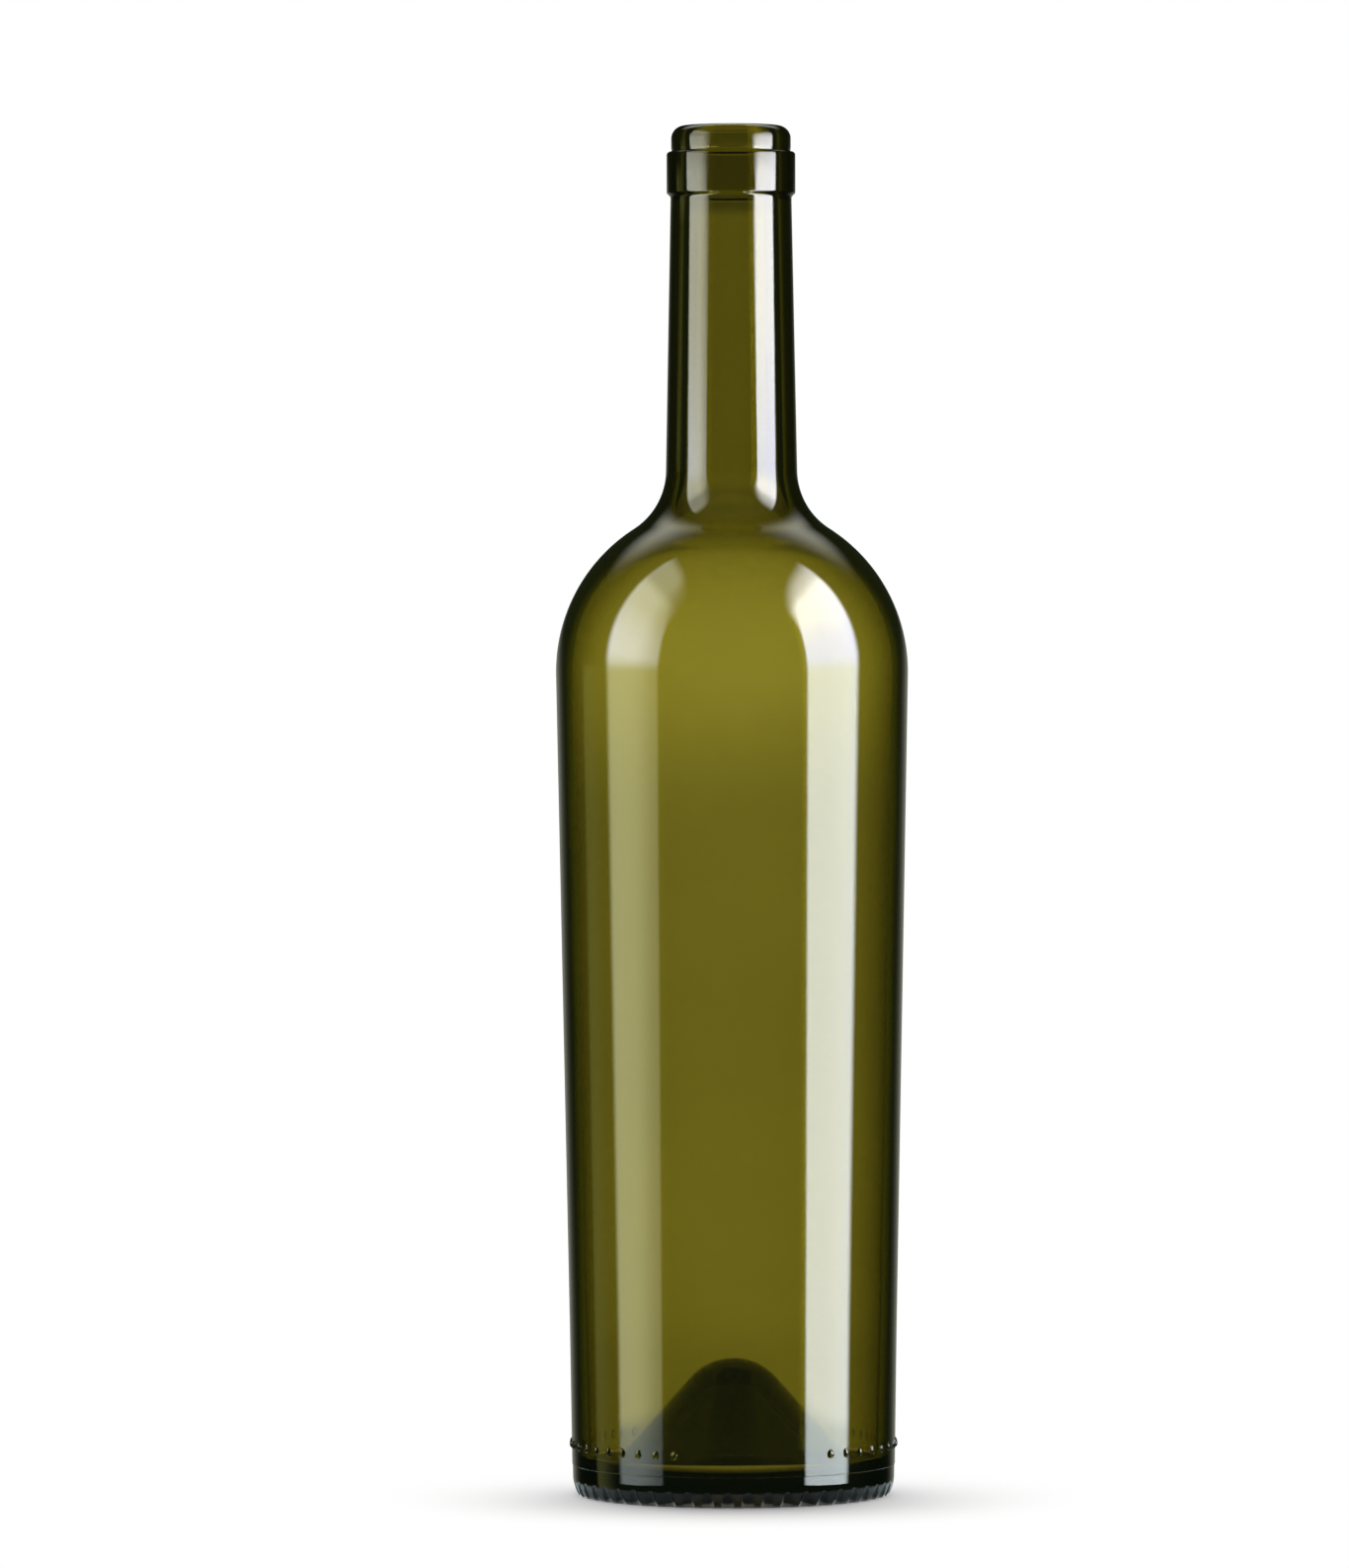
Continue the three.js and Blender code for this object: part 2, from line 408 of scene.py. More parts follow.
def draw_inside(path):
    """The hollow, from the bore to the top of the punt, and the rows of its side wall."""
    inner_radius = SHOULDER_RADIUS - SHOULDER_WALL
    fillet, on_bore, on_shoulder = neck_fillet(BORE_TOP, BORE_TAPER, inner_radius, BORE_FILLET)
    body_out = outer_tangent(HEEL_TOP, SHOULDER_RADIUS)[1]
    inner_heel = HEEL_TOP - body_out * HEEL_WALL
    inner_top, inner_out = outer_tangent(inner_heel, inner_radius)
    up_wall = inner_out * 1j
    trough_start = inner_heel - inner_out * TROUGH_RADIUS
    trough_rise = (BASE_THICKNESS + TROUGH_RADIUS - trough_start.imag) / up_wall.imag
    trough = trough_start + up_wall * trough_rise
    inside_top = complex(0, PUNT_HEIGHT + PUNT_THICKNESS)
    over_crown = inside_top - 1j * PUNT_CROWN
    inside_crown, inside_foot = flank(over_crown, PUNT_CROWN, trough, TROUGH_RADIUS)
    path.line(on_bore)
    first_row = len(path.points)
    path.arc(fillet, on_shoulder)
    path.arc(SHOULDER, inner_top)
    path.line(trough + inner_out * TROUGH_RADIUS)
    last_row = len(path.points)
    path.arc(trough, inside_foot)
    path.line(inside_crown)
    path.arc(over_crown, inside_top)
    return first_row, last_row


def put(name, data):
    """A new object in the scene, at the origin."""
    piece = bpy.data.objects.new(name, data)
    bpy.context.scene.collection.objects.link(piece)
    return piece


def outline_object():
    """The section as a line of points, with a mark on the rows whose wall is wavy."""
    path = Outline(complex(0, PUNT_HEIGHT))
    draw_underside(path)
    draw_outside(path)
    draw_finish(path)
    first, last = draw_inside(path)
    mesh = bpy.data.meshes.new("outline")
    edges = [(i, i + 1) for i in range(len(path.points) - 1)]
    mesh.from_pydata([(p.real * MM, 0, p.imag * MM) for p in path.points], edges, [])
    wavy = mesh.attributes.new("wavy", "FLOAT", "POINT")
    for row in range(first, last):
        wavy.data[row].value = math.sqrt(math.sin(math.pi * (row - first) / (last - first)))
    return put("outline", mesh)


def add(tree, kind, inputs=None, **settings):
    """Adds a node, applies its settings, and sets or links its inputs by name or number."""
    node = tree.nodes.new(kind)
    for name, value in settings.items():
        setattr(node, name, value)
    for key, value in (inputs or {}).items():
        if isinstance(value, bpy.types.NodeSocket):
            tree.links.new(value, node.inputs[key])
        else:
            node.inputs[key].default_value = value
    return node


def calc(tree, operation, a, b=0.0):
    """One step of arithmetic on sockets or numbers."""
    return add(tree, "ShaderNodeMath", {0: a, 1: b}, operation=operation).outputs[0]


def product(tree, first, *others):
    """Sockets or numbers multiplied together."""
    for other in others:
        first = calc(tree, "MULTIPLY", first, other)
    return first


def ease(tree, value, span, low=0.0, high=1.0):
    """A soft step from low to high while the value goes across a span."""
    inputs = {0: value, 1: span[0], 2: span[1], 3: low, 4: high}
    return add(tree, "ShaderNodeMapRange", inputs, interpolation_type="SMOOTHSTEP").outputs[0]


def band(tree, value, rise, fall, level=1.0):
    """A soft band that rises from 0 across one span and falls back across another."""
    return product(tree, ease(tree, value, rise), ease(tree, value, fall, level, 0.0))


def polar(tree, radius, angle, height):
    """A point from its distance to the axis, its angle and its height."""
    x = calc(tree, "MULTIPLY", radius, calc(tree, "COSINE", angle))
    y = calc(tree, "MULTIPLY", radius, calc(tree, "SINE", angle))
    return add(tree, "ShaderNodeCombineXYZ", {0: x, 1: y, 2: height}).outputs[0]


def row_value(tree, outline, kind, value, row):
    """What the outline holds at a row."""
    inputs = {"Geometry": outline, "Value": value, "Index": row}
    return add(tree, "GeometryNodeSampleIndex", inputs, data_type=kind).outputs[0]


def inner_ripple(tree, size, row, place):
    """How far the wavy inner wall stands off its outline, either way: noise runs from 0 to 1."""
    mark = add(tree, "GeometryNodeInputNamedAttribute", {"Name": "wavy"}, data_type="FLOAT")
    wavy = row_value(tree, size["Outline"], "FLOAT", mark.outputs[0], row)
    inputs = {"Vector": place, "Scale": size["Ripple Scale"], "Detail": RIPPLE_DETAIL}
    wave = add(tree, "ShaderNodeTexNoise", inputs).outputs[0]
    reach = product(tree, wavy, size["Ripple Depth"], 2.0)
    return calc(tree, "MULTIPLY", calc(tree, "SUBTRACT", wave, 0.5), reach)


def turned_glass(tree, size):
    """Turns the outline about the axis, with a faint waviness on the inner wall."""
    outline = size["Outline"]
    counted = add(tree, "GeometryNodeAttributeDomainSize", {"Geometry": outline}, component="MESH")
    rows = counted.outputs["Point Count"]
    columns = calc(tree, "ADD", size["Segments"], 1)
    grid = add(tree, "GeometryNodeMeshGrid", {"Vertices X": columns, "Vertices Y": rows})
    index = add(tree, "GeometryNodeInputIndex").outputs[0]
    row = calc(tree, "MODULO", index, rows)
    column = calc(tree, "FLOOR", calc(tree, "DIVIDE", calc(tree, "ADD", index, 0.5), rows))
    angle = calc(tree, "MULTIPLY", column, calc(tree, "DIVIDE", math.tau, size["Segments"]))

    position = add(tree, "GeometryNodeInputPosition").outputs[0]
    point = row_value(tree, outline, "FLOAT_VECTOR", position, row)
    section = add(tree, "ShaderNodeSeparateXYZ", {0: point}).outputs
    radius, height = section["X"], section["Z"]
    shift = inner_ripple(tree, size, row, polar(tree, radius, angle, height))
    place = polar(tree, calc(tree, "ADD", radius, shift), angle, height)
    moved = {"Geometry": grid.outputs[0], "Position": place}
    turned = add(tree, "GeometryNodeSetPosition", moved).outputs[0]
    seam = {"Geometry": turned, "Distance": MERGE_DISTANCE * MM}
    return add(tree, "GeometryNodeMergeByDistance", seam).outputs[0]


def ring_of(tree, count, turn, radius, height):
    """Even points round the axis, and the angle of each."""
    circle = add(tree, "GeometryNodeMeshCircle", {"Vertices": count}).outputs[0]
    index = add(tree, "GeometryNodeInputIndex").outputs[0]
    step = calc(tree, "DIVIDE", math.tau, count)
    angle = calc(tree, "ADD", calc(tree, "MULTIPLY", index, step), turn)
    place = polar(tree, radius, angle, height)
    points = add(tree, "GeometryNodeSetPosition", {"Geometry": circle, "Position": place})
    return points.outputs[0], angle


def set_round(tree, points, piece, lean, angle, scale=(1, 1, 1), chosen=True):
    """Sets a copy of a piece on each point, leaned outwards and turned away from the axis."""
    euler = add(tree, "ShaderNodeCombineXYZ", {1: lean, 2: angle}).outputs[0]
    inputs = {
        "Points": points,
        "Selection": chosen,
        "Instance": piece,
        "Rotation": add(tree, "FunctionNodeEulerToRotation", {"Euler": euler}).outputs[0],
        "Scale": scale,
    }
    placed = add(tree, "GeometryNodeInstanceOnPoints", inputs).outputs[0]
    return add(tree, "GeometryNodeRealizeInstances", {"Geometry": placed}).outputs[0]


def knurled(tree, glass, size):
    """Cuts the ring of slanted scallops into the standing edge."""
    place = [size["Knurl " + name] for name in ("Count", "Turn", "Centre Radius", "Centre Height")]
    points, angle = ring_of(tree, *place)
    cutter_size = {
        "Vertices": KNURL_SIDES,
        "Radius": size["Knurl Radius"],
        "Depth": size["Knurl Length"],
    }
    cutter = add(tree, "GeometryNodeMeshCylinder", cutter_size).outputs["Mesh"]
    cutters = set_round(tree, points, cutter, size["Knurl Lean"], angle)
    cut = add(tree, "GeometryNodeMeshBoolean", operation="DIFFERENCE", solver="MANIFOLD")
    tree.links.new(glass, cut.inputs["Mesh 1"])
    tree.links.new(cutters, cut.inputs["Mesh 2"])
    return cut.outputs[0]


def dotted(tree, glass, size):
    """Raises a row of small dots on the heel, apart from a gap at the front."""
    place = [size["Dot " + name] for name in ("Count", "Turn", "Ring Radius", "Height")]
    points, angle = ring_of(tree, *place)
    after = calc(tree, "GREATER_THAN", angle, size["Dot Gap End"])
    before = calc(tree, "LESS_THAN", angle, size["Dot Gap Start"])
    chosen = calc(tree, "MINIMUM", after, before)
    sphere = {"Radius": 1.0, "Subdivisions": DOT_SUBDIVISIONS}
    bead = add(tree, "GeometryNodeMeshIcoSphere", sphere).outputs["Mesh"]
    beads = set_round(tree, points, bead, 0.0, angle, size["Dot Size"], chosen)
    joined = add(tree, "GeometryNodeMeshBoolean", operation="UNION", solver="MANIFOLD")
    for part in (glass, beads):
        tree.links.new(part, joined.inputs["Mesh 2"])
    return joined.outputs[0]


def smoothed(tree, glass, sharp_angle):
    """Smooth shading all over, with the edges of the scallops and dots kept crisp."""
    soft = add(tree, "GeometryNodeSetShadeSmooth", {"Geometry": glass}, domain="FACE").outputs[0]
    bend = add(tree, "GeometryNodeInputMeshEdgeAngle").outputs[0]
    crisp = calc(tree, "GREATER_THAN", bend, sharp_angle)
    inputs = {"Geometry": soft, "Selection": crisp, "Shade Smooth": False}
    return add(tree, "GeometryNodeSetShadeSmooth", inputs, domain="EDGE").outputs[0]


def bottle_sizes():
    """The tree's named inputs, in metres and radians."""
    tilt = KNURL_TILT * DEGREE
    clear = KNURL_RADIUS - KNURL_DEPTH
    taper = (SHOULDER_DIAMETER - BASE_DIAMETER) / 2 / SHOULDER_HEIGHT
    front = 1.5 * math.pi
    return {
        "Segments": SEGMENTS,
        "Ripple Depth": RIPPLE_DEPTH * MM,
        "Ripple Scale": RIPPLE_SCALE,
        "Knurl Count": KNURL_COUNT,
        "Knurl Turn": front + KNURL_TURN * DEGREE,
        "Knurl Radius": KNURL_RADIUS * MM,
        "Knurl Length": KNURL_LENGTH * MM,
        "Knurl Lean": math.pi / 2 - tilt,
        "Knurl Centre Radius": (STANDING_EDGE.real + math.sin(tilt) * clear) * MM,
        "Knurl Centre Height": -math.cos(tilt) * clear * MM,
        "Dot Count": DOT_COUNT,
        "Dot Turn": front + DOT_TURN * DEGREE,
        "Dot Ring Radius": (BASE_DIAMETER / 2 + taper * DOT_HEIGHT) * MM,
        "Dot Height": DOT_HEIGHT * MM,
        "Dot Size": (DOT_PROUD * MM, DOT_WIDTH / 2 * MM, DOT_TALL / 2 * MM),
        "Dot Gap Start": front + math.tau + DOT_GAP_START * DEGREE,
        "Dot Gap End": front + DOT_GAP_END * DEGREE,
        "Sharp Angle": SHARP_ANGLE * DEGREE,
    }


def bottle_tree(sizes):
    """The tree that makes the glass from its outline, with a named input for each size."""
    tree = bpy.data.node_groups.new("moulded_bottle", "GeometryNodeTree")
    kinds = {int: "NodeSocketInt", float: "NodeSocketFloat", tuple: "NodeSocketVector"}
    face = tree.interface
    face.new_socket("Outline", in_out="INPUT", socket_type="NodeSocketGeometry")
    for name, value in sizes.items():
        face.new_socket(name, in_out="INPUT", socket_type=kinds[type(value)])
    face.new_socket("Glass", in_out="INPUT", socket_type="NodeSocketMaterial")
    face.new_socket("Bottle", in_out="OUTPUT", socket_type="NodeSocketGeometry")
    size = tree.nodes.new("NodeGroupInput").outputs
    glass = turned_glass(tree, size)
    glass = knurled(tree, glass, size)
    glass = dotted(tree, glass, size)
    glass = smoothed(tree, glass, size["Sharp Angle"])
    glass = add(tree, "GeometryNodeRealizeInstances", {"Geometry": glass}).outputs[0]
    finish = {"Geometry": glass, "Material": size["Glass"]}
    glass = add(tree, "GeometryNodeSetMaterial", finish).outputs[0]
    add(tree, "NodeGroupOutput", {"Bottle": glass})
    return tree


def glass_bottle(glass):
    """The bottle as a plain mesh, in the place of its solid."""
    outline = outline_object()
    sizes = bottle_sizes()
    modifier = outline.modifiers.new("moulded_bottle", "NODES")
    modifier.node_group = bottle_tree(sizes)
    for item in modifier.node_group.interface.items_tree:
        if item.name in sizes:
            modifier[item.identifier] = sizes[item.name]
        elif item.name == "Glass":
            modifier[item.identifier] = glass
    evaluated = outline.evaluated_get(bpy.context.evaluated_depsgraph_get())
    mesh = bpy.data.meshes.new_from_object(evaluated)
    mesh.name = "bottle"
    bpy.data.objects.remove(outline)
    piece = put("bottle", mesh)
    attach(piece, "root")
    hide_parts("glass_bottle")


def bare_material(name):
    """A new material with an empty tree."""
    material = bpy.data.materials.new(name)
    material.use_nodes = True
    material.node_tree.nodes.clear()
    return material, material.node_tree


def grey(tree, level):
    """A colour with the same level of red, green and blue."""
    return add(tree, "ShaderNodeCombineColor", {0: level, 1: level, 2: level}).outputs[0]


def noise(tree, place, fineness):
    """Noise over the glass, of a scale and a detail."""
    return add(tree, "ShaderNodeTexNoise", {"Vector": place, **fineness}).outputs[0]


def spread(tree, value, ends):
    """Noise spread evenly between two ends."""
    inputs = {0: value, 1: NOISE_RANGE[0], 2: NOISE_RANGE[1], 3: ends[0], 4: ends[1]}
    return add(tree, "ShaderNodeMapRange", inputs).outputs[0]


def glass_skin(tree, place, height):
    """The faintly uneven skin, deeper in colour at the neck's root, with painted shade at the foot
    of the heel and at the edges.
    """
    broad = noise(tree, place, BROAD_NOISE)
    facing = add(tree, "ShaderNodeLayerWeight").outputs["Facing"]
    # painted shade: the colour darkens towards the edges, where the glass is seen at a slant
    slant = ease(tree, facing, SLANT, 1.0, SLANT_PAINTED_SHADE)
    root = calc(tree, "SUBTRACT", 1.0, band(tree, height, ROOT_FOOT, ROOT_TOP, ROOT_DEPTH))
    # painted shade: the colour darkens over the lowest few millimetres of the heel
    heel = ease(tree, height, HEEL_PAINTED_SHADE_SPAN, HEEL_PAINTED_SHADE, 1.0)
    tint = product(tree, spread(tree, broad, SKIN_TINT), slant, root, heel)
    bump = {"Strength": BUMP_STRENGTH, "Distance": BUMP_DISTANCE, "Height": broad}
    inputs = {
        "Base Color": grey(tree, tint),
        "Roughness": spread(tree, noise(tree, place, FINE_NOISE), SKIN_ROUGHNESS),
        "IOR": GLASS_IOR,
        "Transmission Weight": 1.0,
        "Normal": add(tree, "ShaderNodeBump", bump).outputs[0],
    }
    return add(tree, "ShaderNodeBsdfPrincipled", inputs).outputs[0]


def olive_glass():
    """Clear olive-green glass: it darkens with its depth, and lets soft light on to the floor."""
    material, tree = bare_material("olive_glass")
    place = add(tree, "ShaderNodeTexCoord").outputs["Object"]
    height = add(tree, "ShaderNodeSeparateXYZ", {0: place}).outputs["Z"]
    skin = glass_skin(tree, place, height)
    shade = ease(tree, height, DARK_HEEL, HEEL_SHADE, WALL_SHADE)
    clear = add(tree, "ShaderNodeBsdfTransparent", {"Color": grey(tree, shade)}).outputs[0]
    path = add(tree, "ShaderNodeLightPath").outputs
    floor_light = calc(tree, "MAXIMUM", path["Is Shadow Ray"], path["Is Diffuse Ray"])
    surface = add(tree, "ShaderNodeMixShader", {0: floor_light, 1: skin, 2: clear}).outputs[0]
    left = [1 - taken / ABSORPTION_DENSITY for taken in ABSORPTION]
    depth = {"Color": (*left, 1), "Density": ABSORPTION_DENSITY}
    inside = add(tree, "ShaderNodeVolumeAbsorption", depth).outputs[0]
    add(tree, "ShaderNodeOutputMaterial", {"Surface": surface, "Volume": inside})
    return material


def pick(tree, chosen, default, value):
    """The value where chosen is 1, and the default where it is 0."""
    inputs = {0: chosen, 2: default, 3: value}
    return add(tree, "ShaderNodeMix", inputs, data_type="FLOAT").outputs[0]


def blend(tree, amount, first, second):
    """A colour between two others, each a socket or its three levels."""
    inputs = {0: amount}
    for key, colour in ((6, first), (7, second)):
        inputs[key] = (*colour, 1) if isinstance(colour, tuple) else colour
    return add(tree, "ShaderNodeMix", inputs, data_type="RGBA").outputs[2]


def skin_rays(tree):
    """1 for light that the glass mirrors off its skin, and 0 for the rest."""
    path = add(tree, "ShaderNodeLightPath").outputs
    return calc(tree, "MULTIPLY", path["Is Reflection Ray"], path["Is Glossy Ray"])


def within_rays(tree):
    """1 for light that the glass sends on from within its near wall, and 0 for the rest."""
    path = add(tree, "ShaderNodeLightPath").outputs
    near = calc(tree, "LESS_THAN", path["Transmission Depth"], NEAR_WALL_CROSSINGS)
    return calc(tree, "MULTIPLY", near, path["Is Transmission Ray"])


def through_rays(tree):
    """1 for light that comes through the bottle, and 0 for the rest."""
    path = add(tree, "ShaderNodeLightPath").outputs
    far = calc(tree, "GREATER_THAN", path["Transmission Depth"], NEAR_WALL_CROSSINGS)
    return calc(tree, "MULTIPLY", far, path["Is Transmission Ray"])


def lit_behind(tree, azimuth, elevation, left):
    """A soft lamp behind and above the bottle, a pale wall low behind it and a card on its left."""
    lamp = band(tree, elevation, LAMP_FOOT, LAMP_TOP, LAMP_LEVEL)
    lamp = product(tree, ease(tree, azimuth, LAMP_NEAR), lamp)
    wall = ease(tree, elevation, BACK_TOP, BACK_LEVEL, 0.0)
    wall = product(tree, band(tree, azimuth, BACK_NEAR, BACK_FAR), wall)
    card = ease(tree, elevation, CARD_TOP, CARD_LEVEL, 0.0)
    card = product(tree, band(tree, azimuth, CARD_NEAR, CARD_FAR), card, left)
    return calc(tree, "ADD", calc(tree, "ADD", lamp, wall), card)


def mirrored_light(tree, side, azimuth, elevation, skin):
    """The lights behind the bottle, which only the skin of the glass mirrors."""
    left = calc(tree, "LESS_THAN", side, 0.0)
    shown = calc(tree, "MULTIPLY", lit_behind(tree, azimuth, elevation, left), skin)
    past_card = ease(tree, azimuth, (CARD_FAR[1], LAMP_NEAR[0]))
    tint = blend(tree, past_card, CARD_TINT, LAMP_TINT)
    return add(tree, "ShaderNodeBackground", {"Color": tint, "Strength": shown}).outputs[0]


def room_light(tree, backwards, azimuth, elevation, skin):
    """White for the camera, soft light for the floor, and for the glass a dim room."""
    within = within_rays(tree)
    level = ease(tree, backwards, SOFT_TURN, SOFT_FRONT, SOFT_BACK)
    past_screen = ease(tree, elevation, WHITE_BELOW, 1.0, PAST_SCREEN)
    level = pick(tree, through_rays(tree), level, past_screen)
    inner = ease(tree, azimuth, WITHIN_TURN, WITHIN_FRONT, WITHIN_BACK)
    inner = product(tree, inner, ease(tree, azimuth, WITHIN_EDGE, 1.0, WITHIN_EDGE_TO))
    level = pick(tree, within, level, inner)
    level = pick(tree, skin, level, ease(tree, azimuth, ROOM_TURN, ROOM_FRONT, ROOM_BACK))
    path = add(tree, "ShaderNodeLightPath").outputs
    level = pick(tree, path["Is Camera Ray"], level, 1.0)
    tint = blend(tree, skin, WHITE, ROOM_TINT)
    tint = blend(tree, within, tint, WITHIN_TINT)
    return add(tree, "ShaderNodeBackground", {"Color": tint, "Strength": level}).outputs[0]


def studio_world():
    """The light from all round, told apart by direction and by the way that it came."""
    world = bpy.data.worlds.new("studio")
    bpy.context.scene.world = world
    world.use_nodes = True
    tree = world.node_tree
    tree.nodes.clear()
    direction = add(tree, "ShaderNodeTexCoord").outputs["Generated"]
    axes = add(tree, "ShaderNodeSeparateXYZ", {0: direction}).outputs
    to_front = calc(tree, "MULTIPLY", axes["Y"], -1)
    turn = calc(tree, "ABSOLUTE", calc(tree, "ARCTAN2", axes["X"], to_front))
    azimuth = calc(tree, "DIVIDE", turn, DEGREE)
    elevation = calc(tree, "DIVIDE", calc(tree, "ARCSINE", axes["Z"]), DEGREE)
    skin = skin_rays(tree)
    room = room_light(tree, axes["Y"], azimuth, elevation, skin)
    lamps = mirrored_light(tree, axes["X"], azimuth, elevation, skin)
    light = add(tree, "ShaderNodeAddShader", {0: room, 1: lamps}).outputs[0]
    add(tree, "ShaderNodeOutputWorld", {"Surface": light})


def show_light(tree, shown, colour, strength):
    """Shows a light where and to the rays that shown says, and lets all others pass."""
    glow = add(tree, "ShaderNodeEmission", {"Color": colour, "Strength": strength}).outputs[0]
    clear = add(tree, "ShaderNodeBsdfTransparent").outputs[0]
    surface = add(tree, "ShaderNodeMixShader", {0: shown, 1: clear, 2: glow}).outputs[0]
    add(tree, "ShaderNodeOutputMaterial", {"Surface": surface})


def stage_light(name, points, faces, material):
    """A lit stage piece that only the glass shows."""
    mesh = bpy.data.meshes.new(name)
    mesh.from_pydata(points, [], faces)
    material.cycles.emission_sampling = "NONE"
    mesh.materials.append(material)
    piece = put(name, mesh)
    piece.visible_camera = False
    piece.visible_diffuse = False
    piece.visible_shadow = False


def level_ring(radius, sides, height):
    """Even points on a level circle about the bottle's axis."""
    spokes = [cmath.rect(radius, math.tau * i / sides) for i in range(sides)]
    return [(p.real, p.imag, height) for p in spokes]


def step(tree, height, span, end):
    """A soft step from 1 to another level, upwards or downwards across a span of heights."""
    if span[0] < span[1]:
        return ease(tree, height, span, 1.0, end)
    return ease(tree, height, span[::-1], end, 1.0)


def screen_material():
    """The lit screen: brightest behind the shoulder, darker behind the body and the neck."""
    material, tree = bare_material("lit_screen")
    place = add(tree, "ShaderNodeTexCoord").outputs["Object"]
    height = add(tree, "ShaderNodeSeparateXYZ", {0: place}).outputs["Z"]
    level = ease(tree, height, SCREEN_RISE, SCREEN_LOW, SCREEN_HIGH)
    for span, end in (
        (SCREEN_FALL, SCREEN_FALL_TO),
        (SCREEN_END, SCREEN_END_TO),
        (SCREEN_DUSK, SCREEN_DUSK_TO),
        (SCREEN_MOUTH, SCREEN_MOUTH_TO),
        (SCREEN_SWELL, SCREEN_SWELL_TO),
        (SCREEN_SILL, SCREEN_SILL_TO),
    ):
        level = product(tree, level, step(tree, height, span, end))
    crossings = add(tree, "ShaderNodeLightPath").outputs["Transmission Depth"]
    by_punt = calc(tree, "GREATER_THAN", crossings, PUNT_CROSSINGS)
    colour = blend(tree, by_punt, WHITE, THROUGH_PUNT)
    show_light(tree, through_rays(tree), colour, level)
    return material


def lit_screen():
    """A round screen about the bottle, which shows only through the glass."""
    foot = level_ring(SCREEN_RADIUS, SCREEN_SIDES, SCREEN_FOOT)
    top = level_ring(SCREEN_RADIUS, SCREEN_SIDES, SCREEN_TOP)
    sides = [(i, (i + 1) % SCREEN_SIDES) for i in range(SCREEN_SIDES)]
    faces = [(a, b, b + SCREEN_SIDES, a + SCREEN_SIDES) for a, b in sides]
    stage_light("lit_screen", foot + top, faces, screen_material())


def lit_face(tree, axes, top, from_front):
    """1 on the lit face of a soft box and 0 off it: it is round at its top front corner."""
    above = calc(tree, "MAXIMUM", calc(tree, "SUBTRACT", axes["Z"], BOX_BREAK[0]), 0.0)
    back = calc(tree, "ADD", calc(tree, "MULTIPLY", above, BOX_BACK_LEAN), BOX_BACK)
    from_back = calc(tree, "SUBTRACT", back, axes["Y"])
    from_top = calc(tree, "SUBTRACT", top, axes["Z"])
    short = {}
    for axis, distance in enumerate((from_front, from_top)):
        short[axis] = calc(tree, "MAXIMUM", calc(tree, "SUBTRACT", BOX_CORNER, distance), 0.0)
    short = add(tree, "ShaderNodeCombineXYZ", short).outputs[0]
    short = add(tree, "ShaderNodeVectorMath", {0: short}, operation="LENGTH").outputs["Value"]
    inside = calc(tree, "SUBTRACT", BOX_CORNER, short)
    soft = ease(tree, axes["Z"], BOX_SOFT_TOP, BOX_EDGE, BOX_SOFT_EDGE)
    lit = ease(tree, inside, (calc(tree, "MULTIPLY", soft, -1), soft))
    return product(tree, lit, ease(tree, from_back, (-BOX_EDGE, BOX_EDGE)))


def soft_box_material(name, top, levels, fade):
    """The lit face of a soft box, which changes its level with height and fades to its front."""
    material, tree = bare_material(name)
    place = add(tree, "ShaderNodeTexCoord").outputs["Object"]
    axes = add(tree, "ShaderNodeSeparateXYZ", {0: place}).outputs
    front = calc(tree, "ADD", calc(tree, "MULTIPLY", axes["Z"], BOX_FRONT_LEAN), BOX_FRONT)
    from_front = calc(tree, "SUBTRACT", axes["Y"], front)
    colour = levels[0]
    for span, level in zip((BOX_TOE, BOX_BREAK, BOX_HEAD), levels[1:]):
        colour = blend(tree, ease(tree, axes["Z"], span), colour, level)
    strength = ease(tree, from_front, (0.0, BOX_FADE_WIDTH), fade, 1.0)
    strength = product(tree, strength, ease(tree, axes["Z"], BOX_CROWN, 1.0, BOX_CROWN_TO))
    within = calc(tree, "MULTIPLY", within_rays(tree), BOX_WITHIN)
    seen = calc(tree, "MAXIMUM", skin_rays(tree), within)
    shown = product(tree, lit_face(tree, axes, top, from_front), seen)
    show_light(tree, shown, colour, strength)
    return material


def soft_box(name, side, top, levels, fade):
    """A tall soft box beside the bottle, which only the glass mirrors."""
    head = top + BOX_PANEL_SPARE
    corners = (
        (BOX_PANEL_BACK, BOX_FOOT_BACK),
        (BOX_PANEL_FRONT, BOX_FOOT_FRONT),
        (BOX_PANEL_FRONT, head),
        (BOX_PANEL_BACK, head),
    )
    points = [(side * BOX_REACH, y, z) for y, z in corners]
    stage_light(name, points, [(0, 1, 2, 3)], soft_box_material(name, top, levels, fade))


def near_floor(tree, reach, path):
    """The matt floor by the bottle, with a painted glow on a thin ring under the standing edge,
    which only the glass mirrors.
    """
    skin = skin_rays(tree)
    # painted reflection: the floor is cooler in colour for the rays that the glass mirrors
    colour = blend(tree, skin, FLOOR_COLOUR, FLOOR_MIRRORED)
    matt = add(tree, "ShaderNodeBsdfDiffuse", {"Color": colour}).outputs[0]
    glow = calc(tree, "MULTIPLY", path["Is Camera Ray"], FLOOR_GLOW)
    glow = calc(tree, "ADD", glow, calc(tree, "MULTIPLY", through_rays(tree), FLOOR_THROUGH))
    # painted highlight: the ring under the standing edge glows only for the rays that the glass
    # mirrors
    edge = ease(tree, reach, FLOOR_EDGE, FLOOR_EDGE_GLOW, 0.0)
    edge = product(tree, edge, ease(tree, reach, FLOOR_UNDER, FLOOR_UNDER_SHARE, 1.0))
    glow = calc(tree, "ADD", glow, calc(tree, "MULTIPLY", skin, edge))
    lit = add(tree, "ShaderNodeEmission", {"Strength": glow}).outputs[0]
    return add(tree, "ShaderNodeAddShader", {0: matt, 1: lit}).outputs[0]


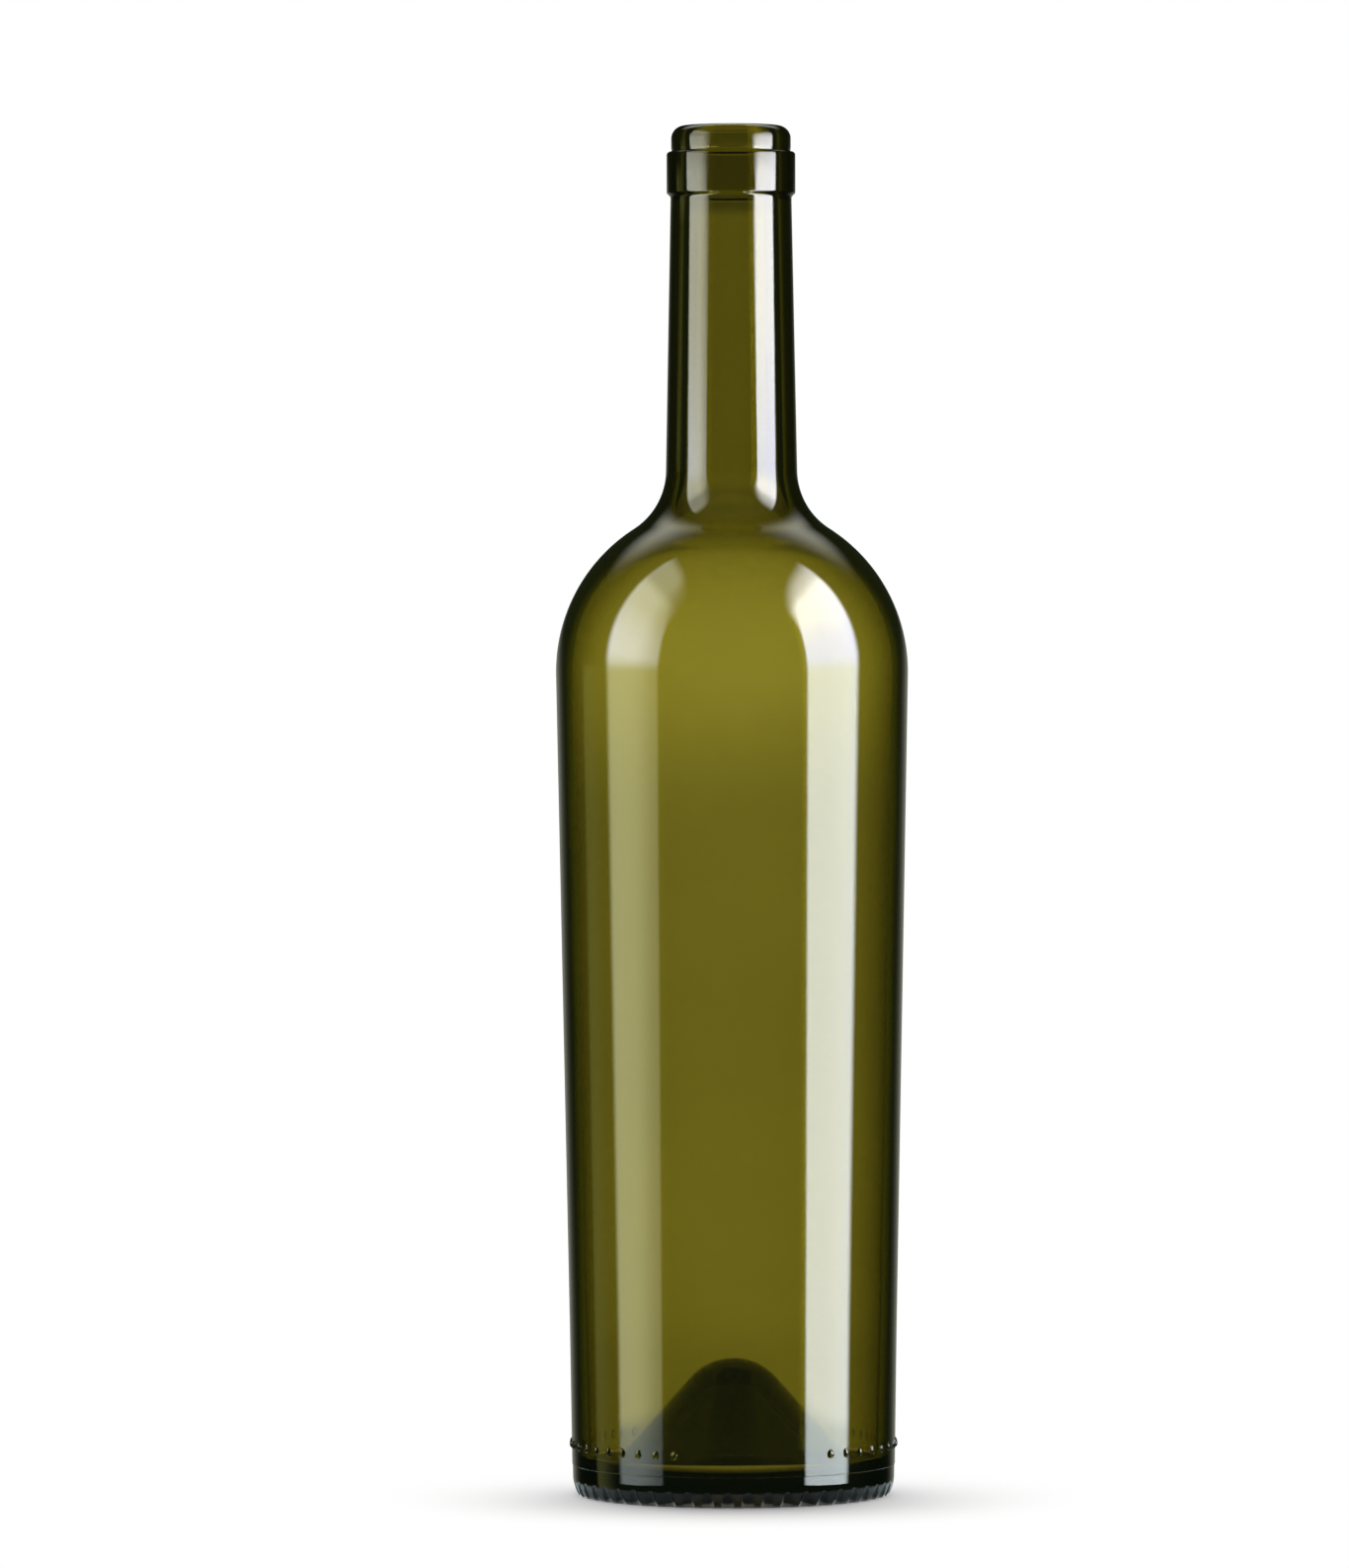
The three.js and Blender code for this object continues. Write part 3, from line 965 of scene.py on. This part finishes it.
def floor_material():
    """Pale floor: softly lit near the bottle, plain white and clear in the glass further out."""
    material, tree = bare_material("studio_floor")
    place = add(tree, "ShaderNodeTexCoord").outputs["Object"]
    reach = add(tree, "ShaderNodeVectorMath", {0: place}, operation="LENGTH").outputs["Value"]
    path = add(tree, "ShaderNodeLightPath").outputs
    near = near_floor(tree, reach, path)
    white = add(tree, "ShaderNodeEmission", {"Strength": 1.0}).outputs[0]
    plain = ease(tree, reach, FLOOR_PLAIN_WHITE)
    surface = add(tree, "ShaderNodeMixShader", {0: plain, 1: near, 2: white}).outputs[0]
    clear = add(tree, "ShaderNodeBsdfTransparent").outputs[0]
    far = product(tree, ease(tree, reach, FLOOR_SEEN_IN_GLASS), path["Is Glossy Ray"])
    surface = add(tree, "ShaderNodeMixShader", {0: far, 1: surface, 2: clear}).outputs[0]
    add(tree, "ShaderNodeOutputMaterial", {"Surface": surface})
    return material


def studio_floor():
    """A round of pale floor under the bottle."""
    mesh = bpy.data.meshes.new("floor")
    rim = level_ring(FLOOR_RADIUS, FLOOR_SIDES, -FLOOR_DROP)
    mesh.from_pydata(rim, [], [range(FLOOR_SIDES)])
    mesh.materials.append(floor_material())
    put("floor", mesh)


def photo_camera():
    """The camera at the photograph's height and distance, aimed a little below the shoulder."""
    data = bpy.data.cameras.new("camera")
    drop = CAMERA_HEIGHT - AIM_HEIGHT
    data.sensor_width = SENSOR
    data.lens = SENSOR * math.hypot(CAMERA_DISTANCE, drop) / FRAME_HEIGHT
    data.clip_start = CLIP_START
    data.clip_end = CLIP_END
    camera = put("camera", data)
    camera.location = (CAMERA_SIDE, -CAMERA_DISTANCE, CAMERA_HEIGHT)
    tilt = math.pi / 2 - math.atan2(drop, CAMERA_DISTANCE)
    camera.rotation_euler = (tilt, CAMERA_ROLL * DEGREE, 0)
    bpy.context.scene.camera = camera


bpy.context.scene.view_settings.view_transform = "Standard"
photo_camera()
studio_world()
studio_floor()
lit_screen()
soft_box("left_box", -1, LEFT_BOX_TOP, LEFT_BOX_LEVELS, LEFT_BOX_FADE)
soft_box("right_box", 1, RIGHT_BOX_TOP, RIGHT_BOX_LEVELS, RIGHT_BOX_FADE)
glass_bottle(olive_glass())
